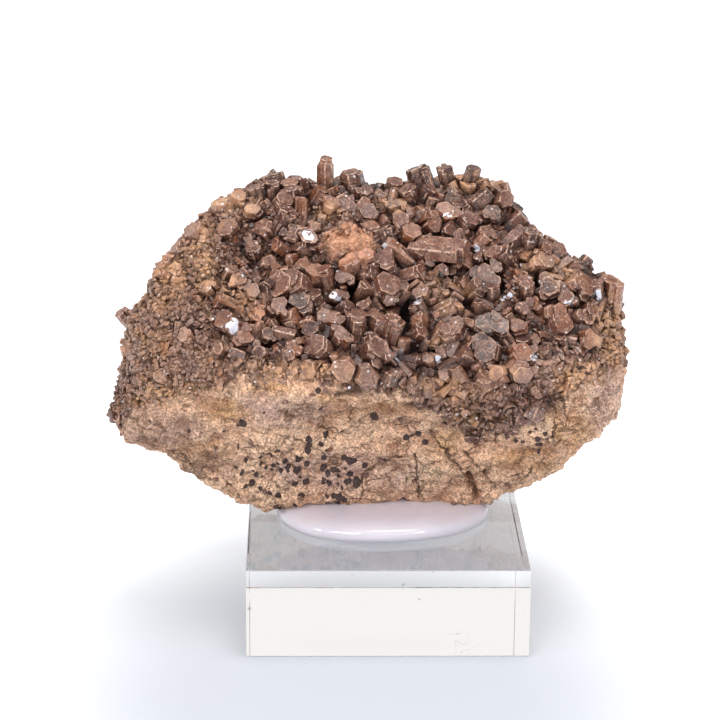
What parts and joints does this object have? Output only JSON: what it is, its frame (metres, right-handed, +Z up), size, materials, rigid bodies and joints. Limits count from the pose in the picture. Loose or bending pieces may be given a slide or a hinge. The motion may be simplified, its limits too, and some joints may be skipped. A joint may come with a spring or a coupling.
{
  "type": "mineral specimen on display block",
  "caption": "Vanadinite specimen: brown hexagonal crystals over the upper slope of a buff matrix rock, set in a white glue pad on a clear square display block.",
  "frame": {"origin": "middle of the display block's underside", "axes": "+X to the right of the display side, along the specimen's length; +Y away from the display side; +Z up"},
  "size_m": [0.0982, 0.0595, 0.0812],
  "materials": {
    "matrix_rock": "sandy broken rock, matte",
    "vanadinite": "resinous crystal faces",
    "hot_melt_glue": "glossy, translucent white",
    "clear_acrylic": "clear, polished"
  },
  "bodies": {
    "root": {"matrix": "matrix_rock", "crystal_crust": "vanadinite", "glue_pad": "hot_melt_glue", "display_block": "clear_acrylic"}
  },
  "joints": []
}
